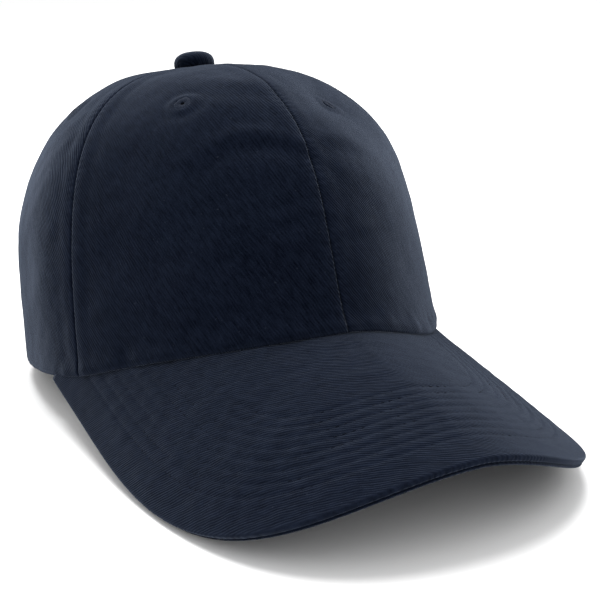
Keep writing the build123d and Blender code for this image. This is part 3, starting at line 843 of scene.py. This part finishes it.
TAPES = {
    "seam_tape_front": (0, 1.0),
    "seam_tape_front_left": (FRONT_SEAM, 1.0),
    "seam_tape_rear_left": (SIDE_SEAM, 1.0),
    "seam_tape_rear": (180, OPENING_HEIGHT + BINDING_WIDTH + 0.3),
    "seam_tape_rear_right": (-SIDE_SEAM, 1.0),
    "seam_tape_front_right": (-FRONT_SEAM, 1.0),
}
for name, (seam, foot_height) in TAPES.items():
    seam_turn = math.radians(seam)
    foot = rise_at_height(np.array(seam_turn), foot_height)
    top = rise_at_radius(np.array(seam_turn), TAPE_WIDTH / 2 / math.sin(math.radians(28)) + 0.6)
    share = edge_steps(FINE[:4], 1.0, 130, 1.6) / 130
    across = np.concatenate([[-1, -0.96, -0.88], steps(-0.75, 0.75, 7), [0.88, 0.96, 1]])
    share, across = np.meshgrid(share, across, indexing="ij")
    rise = foot + (top - foot) * share
    reach = np.arcsin(TAPE_WIDTH / 2 / apex_distance(np.full_like(rise, seam_turn), rise))
    turn = seam_turn + reach * across
    wall_layer(name + "_woven", turn, rise, TAPE_DEPTH, TAPE_THICK, TAPE, "tape", replaces=(name,))
    runs = []
    for column in (3, 9):
        line = turn[2:-2, column], rise[2:-2, column]
        inward = -outward(*line)
        runs.append((wall(*line, TAPE_DEPTH + TAPE_THICK), inward))
    thread(name + "_stitches", runs, 0.16, 1.9, 2.6)

hinge = next(j for j in frame["joints"] if j["name"] == "strap_adjust")
strap_axis = unplace(hinge["pos_m"])
strap_points = unplace([v.co for v in frame["nodes"]["strap"].data.vertices])
strap_reach = np.hypot(strap_points[:, 0], strap_points[:, 1] - strap_axis[1])
STRAP_INNER, STRAP_OUTER = strap_reach.min(), strap_reach.max()
STRAP_CENTRE = strap_axis[1]
strap_turns = np.degrees(np.arctan2(strap_points[:, 0], strap_points[:, 1] - STRAP_CENTRE))
STRAP_FIRST, STRAP_LAST = strap_turns.min(), strap_turns.max()
STRAP_BASE, STRAP_TOP = strap_points[:, 2].min(), strap_points[:, 2].max()


def strap_at(radius, turn, height):
    turn = np.radians(turn)
    return np.stack([radius * np.sin(turn), STRAP_CENTRE + radius * np.cos(turn), height], -1)


# The sweatband: a folded band, sewn at the rim, that stands further in at the back
front_depth = TAPE_DEPTH + TAPE_THICK + 0.3
wall_back = outer(np.array(math.pi), np.array(0.0))[1]
rear_depth = wall_back - (STRAP_CENTRE + STRAP_INNER) + 0.3
for name, side in (("sweatband_left", 1), ("sweatband_right", -1)):
    levels = edge_steps(FINE[:6], 1.6, BAND_HEIGHT - 0.3, 1.5) + 0.3
    x_end = OPENING_WIDTH * np.sqrt(1 - (np.maximum(levels, 0) / OPENING_HEIGHT) ** 2)
    end_angle, _ = wall_at(x_end, levels)
    along = edge_steps(FINE[:6], 1.6, 240.0, 2.4) / 240.0
    level, along = np.meshgrid(levels, along, indexing="ij")
    angle = 1 + (end_angle[:, None] - 1) * along
    blend = ease((angle - FRONT_SEAM) / (SIDE_SEAM - FRONT_SEAM))
    depth = front_depth + (rear_depth - front_depth) * blend
    turn = side * np.radians(angle)
    rise = rise_at_height(turn, level)
    bulge = 0.25 * np.sin(np.pi * level / BAND_HEIGHT) + 0.12 * waves(angle * 1.3, level, 3, 25)
    bulge -= 0.35 * bell(level - 3.2, 0.9) + 0.3 * bell(level - (BAND_HEIGHT - 2.6), 0.8)
    middle = wall(turn, rise, depth + BAND_THICK / 2 + 0.3 * bulge)
    normal = outward(turn, rise)
    if side < 0:
        middle, normal = middle[:, ::-1], normal[:, ::-1]
    layer(name + "_folded", middle, normal, BAND_THICK, BAND_TWILL, "sweatband", replaces=(name,))
    runs = []
    for height in (3.2, BAND_HEIGHT - 2.6):
        row = int(np.argmin(np.abs(levels - height)))
        line = turn[row, 3:-3], rise[row, 3:-3]
        inner_depth = depth[row, 3:-3] + BAND_THICK
        runs.append((wall(*line, inner_depth), -outward(*line)))
    thread(name + "_stitches", runs, 0.18, 2.2, 3.0)

# The binding inside the opening, and its two rows of stitches through the rear panels
turns = edge_steps(FINE[:5], 1.2, 180.0, 2.0) - 90
beyond = edge_steps(FINE[:5], 1.2, BINDING_WIDTH, 1.0)
beyond, turns = np.meshgrid(beyond, turns, indexing="ij")
angle, rise = opening_edge(turns, beyond)
turn = np.radians(angle)
middle = wall(turn, rise, BINDING_DEPTH + BINDING_THICK / 2)
layer(
    "opening_binding_folded", middle[:, ::-1], outward(turn, rise)[:, ::-1], BINDING_THICK,
    INNER_TWILL, "twill", replaces=("opening_binding",),
)
outside_runs, inside_runs = [], []
for distance in (1.8, 6.8):
    angle, rise = opening_edge(steps(-88.5, 88.5, 150), distance)
    turn = np.radians(angle)
    outside_runs.append((wall(turn, rise, -0.02), outward(turn, rise)))
    inside_runs.append((wall(turn, rise, BINDING_DEPTH + BINDING_THICK), -outward(turn, rise)))
thread("opening_stitches_outside", outside_runs, 0.19, 2.1, 2.8)
thread("opening_stitches_inside", inside_runs, 0.19, 2.1, 2.8)


# ------------------------------------------------------------------------------ bill
def bill_point(across, along, depth=0.0):
    """A point of the bill: mm along its arch, mm along its slope, mm below its top face."""
    bend = across / BILL_RADIUS
    radius = BILL_RADIUS - depth
    lift = radius * np.cos(bend) - BILL_RADIUS - droop(radius * np.sin(bend))
    y = -FRONT_DEPTH - along * math.cos(BILL_PITCH) - lift * math.sin(BILL_PITCH)
    z = BILL_RISE + lift * math.cos(BILL_PITCH) - along * math.sin(BILL_PITCH)
    return np.stack([radius * np.sin(bend), y, z], -1)


def bill_normal(across):
    bend = across / BILL_RADIUS
    lift = np.cos(bend)
    return np.stack([np.sin(bend), -lift * math.sin(BILL_PITCH), lift * math.cos(BILL_PITCH)], -1)


def even(line, count):
    """The line's points, spaced evenly."""
    lengths = np.pad(np.cumsum(np.linalg.norm(np.diff(line, axis=0), axis=1)), (1, 0))
    places = np.linspace(0, lengths[-1], count)
    return np.stack([np.interp(places, lengths, line[:, k]) for k in range(2)], -1)


def bill_outline(back):
    """The outline from the wearer's right to left, down to back along the slope."""
    turn = np.radians(steps(-90, 90, 721))
    width = np.where(turn < 0, -BILL_WIDTHS[0], BILL_WIDTHS[1])
    power = 2 / np.where(turn < 0, *BILL_ROUNDS)
    across = width * np.abs(np.sin(turn)) ** power
    along = BILL_WIDEST + (BILL_LENGTH - BILL_WIDEST) * np.abs(np.cos(turn)) ** power
    line = np.stack([across, along], -1)
    return np.concatenate([[(-BILL_WIDTHS[0], back)], line, [(BILL_WIDTHS[1], back)]])


def bill_root(tuck, half_angle):
    """Where the bill runs in under the crown's wall."""
    angle = np.radians(steps(-half_angle, half_angle, 401))
    x, y = wall(angle, np.zeros_like(angle), tuck)[:, :2].T
    across = BILL_RADIUS * np.arcsin(np.clip(x / BILL_RADIUS, -1, 1))
    lift = BILL_RADIUS * np.cos(across / BILL_RADIUS) - BILL_RADIUS - droop(x)
    along = -(y + FRONT_DEPTH + lift * math.sin(BILL_PITCH)) / math.cos(BILL_PITCH)
    return np.stack([across, along], -1)


ROOT = bill_root(3.9, 80.0)
BILL_COLUMNS = 281
root_line = even(ROOT, BILL_COLUMNS)
edge_line = even(bill_outline(ROOT[0, 1] + 3.0), BILL_COLUMNS)
dense_edge = even(bill_outline(-90.0), 900)
run = np.gradient(edge_line, axis=0)
run /= np.linalg.norm(run, axis=1, keepdims=True)
inward_edge = np.stack([run[:, 1], -run[:, 0]], -1)
EDGE_ROUND = 0.8
EDGE_SEAM = 2.3
STITCH_FIRST, STITCH_PITCH, STITCH_ROWS = 12.5, 4.45, 8


def edge_distance(flat):
    """Distance from the bill's outline, measured over its face."""
    shape = flat.shape[:-1]
    flat = flat.reshape(-1, 2)
    out = np.empty(len(flat))
    for start in range(0, len(flat), 4000):
        part = flat[start : start + 4000]
        out[start : start + 4000] = np.linalg.norm(part[:, None] - dense_edge[None], axis=-1).min(1)
    return out.reshape(shape)


def stitched(distance):
    """How far the rows of stitches draw the cover down."""
    total = 0.0
    for row in range(STITCH_ROWS):
        total = total + bell(distance - STITCH_FIRST - row * STITCH_PITCH, 0.8)
    return total


def bill_cover(name, below, thick, replaces):
    """A cover of the bill, from its seam round the edge to the crown."""
    corner = np.radians(steps(90, 0, 7))
    seam_depth = EDGE_SEAM if not below else BILL_THICK - EDGE_SEAM - 0.08
    insets = np.concatenate([[0.0, 0.0, 0.0, 0.0], EDGE_ROUND - EDGE_ROUND * np.sin(corner)])
    depths = np.concatenate([
        [seam_depth, seam_depth - 0.12, seam_depth - 0.35, (seam_depth + EDGE_ROUND) / 2],
        EDGE_ROUND - EDGE_ROUND * np.cos(corner),
    ])
    tucked = np.array([0.55, 0.25, 0.06, 0, 0, 0, 0, 0, 0, 0, 0])
    insets = insets + tucked
    inner_insets = np.concatenate([
        [0.55, 0.6, thick, thick], EDGE_ROUND - (EDGE_ROUND - thick) * np.sin(corner)
    ])
    inner_depths = np.concatenate([
        [seam_depth, seam_depth - 0.1, seam_depth - 0.35, (seam_depth + EDGE_ROUND) / 2],
        EDGE_ROUND - (EDGE_ROUND - thick) * np.cos(corner),
    ])
    inner_depths[0] = depths[0]
    face_rows = 128
    share = np.linspace(0, 1, face_rows + 1)[1:]
    share = np.concatenate([[0.002, 0.005], share])
    start = edge_line + inward_edge * EDGE_ROUND

    def flat_rows(edge_insets):
        wrap = edge_line[None] + edge_insets[:, None, None] * inward_edge[None]
        face = start[None] + share[:, None, None] * (root_line - start)[None]
        return np.concatenate([wrap, face])

    outer_flat, inner_flat = flat_rows(insets), flat_rows(inner_insets)
    zero = np.zeros(len(share))
    every = np.zeros(BILL_COLUMNS)
    outer_depth = np.concatenate([depths, zero])[:, None] + every
    inner_depth = np.concatenate([inner_depths, zero + thick])[:, None] + every
    distance = edge_distance(outer_flat)
    on_face = ease((distance - 1.5) / 4)
    u, v = outer_flat[..., 0], outer_flat[..., 1]
    soft = 0.13 * waves(u, v, 61 + below, 30) + 0.05 * waves(u, v, 71 + below, 9)
    along_row = np.arange(1.0, BILL_COLUMNS + 1)[None]
    pull = 0.5 + 0.5 * np.sin(along_row * 2.2 + distance * 1.3)
    groove = stitched(distance) * (0.17 + 0.1 * pull)
    relief = (groove - soft * on_face) * on_face
    outer_depth = outer_depth + relief * (1 if not below else 0.8)
    inner_depth = np.maximum(inner_depth, outer_depth + 0.15)
    inner_flat[-1], inner_flat[0] = outer_flat[-1], outer_flat[0]
    inner_depth[-1], inner_depth[0] = outer_depth[-1], outer_depth[0]
    for column in (0, -1):
        inner_flat[:, column] = outer_flat[:, column]
        inner_depth[:, column] = outer_depth[:, column]
    if below:
        outer_depth, inner_depth = BILL_THICK - outer_depth, BILL_THICK - inner_depth
    outside = bill_point(outer_flat[..., 0], outer_flat[..., 1], outer_depth)
    inside = bill_point(inner_flat[..., 0], inner_flat[..., 1], inner_depth)
    worn = 0.35 * bell(np.arange(outside.shape[0])[:, None] - 8.0, 3.0) + 0 * distance
    cloth = np.stack([u, v + (0 if not below else 300), outer_depth], -1)
    if below:
        outside, inside, cloth, worn = [g[:, ::-1] for g in (outside, inside, cloth, worn)]
    points, faces = shell(outside, inside)
    return make_object(
        name, points, faces, both(cloth), both(worn), BILL_TWILL, "twill", replaces=replaces
    )


def add_board():
    """The board between the covers, its edge square to the arch."""
    top, bottom, inset = 0.75, 2.95, 1.3
    share = np.linspace(0, 0.985, 40)[:, None, None]
    start = (edge_line + inward_edge * inset)[5:-5]
    flat = start[None] + share * (root_line[5:-5] - start)[None]
    swell = np.ones(flat.shape[:2])
    swell[[0, -1]] = swell[:, [0, -1]] = 0.0
    middle, half = (top + bottom) / 2, (bottom - top) / 2
    outside = bill_point(flat[..., 0], flat[..., 1], middle - half * swell)
    inside = bill_point(flat[..., 0], flat[..., 1], middle + half * swell)
    points, faces = shell(outside, inside)
    cloth = both(np.concatenate([flat, swell[..., None]], -1))
    make_object(
        "bill_board_cut", points, faces, cloth, np.zeros(len(points)), BOARD, "board",
        replaces=("bill_board",),
    )


add_board()
bill_cover("bill_top_cover_sewn", False, 0.55, ("bill_top_cover",))
bill_cover("bill_bottom_cover_sewn", True, 0.55, ("bill_bottom_cover",))


def bill_rows(below):
    """The rows of stitches, parallel to the edge, as far as the crown."""
    runs = []
    outline = even(bill_outline(-90.0), 500)
    ahead = np.gradient(outline, axis=0)
    ahead /= np.linalg.norm(ahead, axis=1, keepdims=True)
    inwards = np.stack([ahead[:, 1], -ahead[:, 0]], -1)
    root_front = bill_root(-0.6, 80.0)
    for row in range(STITCH_ROWS):
        distance = STITCH_FIRST + row * STITCH_PITCH
        line = outline + inwards * distance
        limit = np.interp(line[:, 0], root_front[:, 0], root_front[:, 1])
        shown = (line[:, 1] > limit + 1.0) & (np.abs(line[:, 0]) < BILL_WIDTHS[1] - distance * 0.5)
        shown &= edge_distance(line) > distance - 0.05
        line = line[shown]
        depth = 0.4 if not below else BILL_THICK - 0.34
        normals = bill_normal(line[:, 0]) * (1 if not below else -1)
        runs.append((bill_point(line[:, 0], line[:, 1], depth), normals))
    return runs


thread("bill_stitches_top", bill_rows(False), 0.17, 2.0, 2.9)
thread("bill_stitches_bottom", bill_rows(True), 0.17, 2.0, 2.9)


# ------------------------------------------------------------------------------ button
def add_button():
    """A button covered in the cap's cloth, gathered under its edge."""
    radius, height, base = 8.2, 7.2, -0.5
    around, rings = 96, 26
    turn = steps(0, math.tau, around + 1)[:-1]
    profile = np.radians(steps(-48, 90, rings))[:-1]
    power = 2 / 2.5
    reach = radius * np.cos(profile) ** power
    level = np.where(
        profile > 0, 2.1 + (height - 2.1) * np.abs(np.sin(profile)) ** power,
        2.1 - 2.1 * np.abs(np.sin(profile) / math.sin(math.radians(48))) ** power,
    )
    points, cloth = [], []
    for ring in range(len(profile)):
        gather = 0.16 * np.sin(turn * 21 + 1.3 * np.sin(turn * 4)) * bell(level[ring], 2.4)
        sag = 0.1 * np.sin(turn * 3 + 1) * bell(level[ring] - 3, 2)
        r = np.minimum(reach[ring] + gather + sag, radius)
        z = np.full(around, base + level[ring])
        points.append(np.stack([r * np.cos(turn), r * np.sin(turn), z], -1))
        flat = r + max(0.0, (3 - level[ring])) * 0.8
        cloth.append(np.stack([flat * np.cos(turn), flat * np.sin(turn), z * 0 + 3], -1))
    points = np.concatenate(points + [[(0, 0, base + height)], [(0, 0, base)]])
    cloth = np.concatenate(cloth + [[(0, 0, 3.0)], [(0, 0, 3.0)]])
    points = points + np.array((0, APEX_BACK, CROWN_HEIGHT))
    faces = []
    for ring in range(len(profile) - 1):
        for k in range(around):
            a, b = ring * around + k, ring * around + (k + 1) % around
            faces.append((a, b, b + around, a + around))
    top = (len(profile) - 1) * around
    for k in range(around):
        following = (k + 1) % around
        faces.append((top + k, top + following, len(points) - 2))
        faces.append((following, k, len(points) - 1))
    make_object(
        "button_cover_gathered", points, faces, cloth, np.zeros(len(points)), CROWN_TWILL,
        "twill", replaces=("button_cover",),
    )


add_button()


# ------------------------------------------------------------------------------ strap
heights = edge_steps(FINE[:6], 2.0, STRAP_TOP - STRAP_BASE, 1.6) + STRAP_BASE
lengths = np.radians(STRAP_LAST - STRAP_FIRST) * STRAP_OUTER
turns = STRAP_FIRST + np.degrees(edge_steps(FINE[:6], 2.0, lengths, 1.6) / STRAP_OUTER)
height, turn_grid = np.meshgrid(heights, turns[::-1], indexing="ij")
strap_middle = strap_at((STRAP_INNER + STRAP_OUTER) / 2, turn_grid, height)
strap_normal = strap_at(1.0, turn_grid, height) - strap_at(0.0, turn_grid, height)
layer(
    "strap_sewn", strap_middle, strap_normal, STRAP_OUTER - STRAP_INNER, INNER_TWILL, "twill",
    body="strap", replaces=("strap",),
)
runs = []
for level in (STRAP_BASE + 2.2, STRAP_TOP - 2.2):
    line = steps(STRAP_FIRST + 1, STRAP_LAST - 1, 160)
    path = strap_at(STRAP_OUTER, line, np.full(160, level))
    inner_path = strap_at(STRAP_INNER, line, np.full(160, level))
    out = strap_at(1.0, line, np.zeros(160)) - strap_at(0.0, line, np.zeros(160))
    runs += [(path, out), (inner_path, -out)]
thread("strap_stitches", runs, 0.17, 2.1, 2.8, body="strap")

for names, material in (
    (("buckle_frame", "buckle_lever", "buckle_pin", "buckle_tab"), BRASS),
    (("button_shell", "button_post", "button_washer"), STEEL),
):
    for name in names:
        mesh = frame["nodes"][name].data
        mesh.materials.clear()
        mesh.materials.append(material)

# ------------------------------------------------------------------------------ floor and light
floor_mesh = bpy.data.meshes.new("floor")
floor_mesh.from_pydata([(-30, -30, 0), (30, -30, 0), (30, 30, 0), (-30, 30, 0)], [], [(0, 1, 2, 3)])
floor_mesh.materials.append(PAPER)
floor = bpy.data.objects.new("floor", floor_mesh)
bpy.context.collection.objects.link(floor)

world = bpy.data.worlds.new("studio")
world.use_nodes = True
world.node_tree.nodes["Background"].inputs[0].default_value = (1, 1, 1, 1)
world.node_tree.nodes["Background"].inputs[1].default_value = 1.0
bpy.context.scene.world = world
MIDDLE = (0.0, 0.0, 0.06)
add_light("overhead", "AREA", (0.1, 0.5, 1.6), MIDDLE, 1.2, 38)
add_light("right", "AREA", (1.4, 0.0, 0.8), MIDDLE, 0.9, 2)
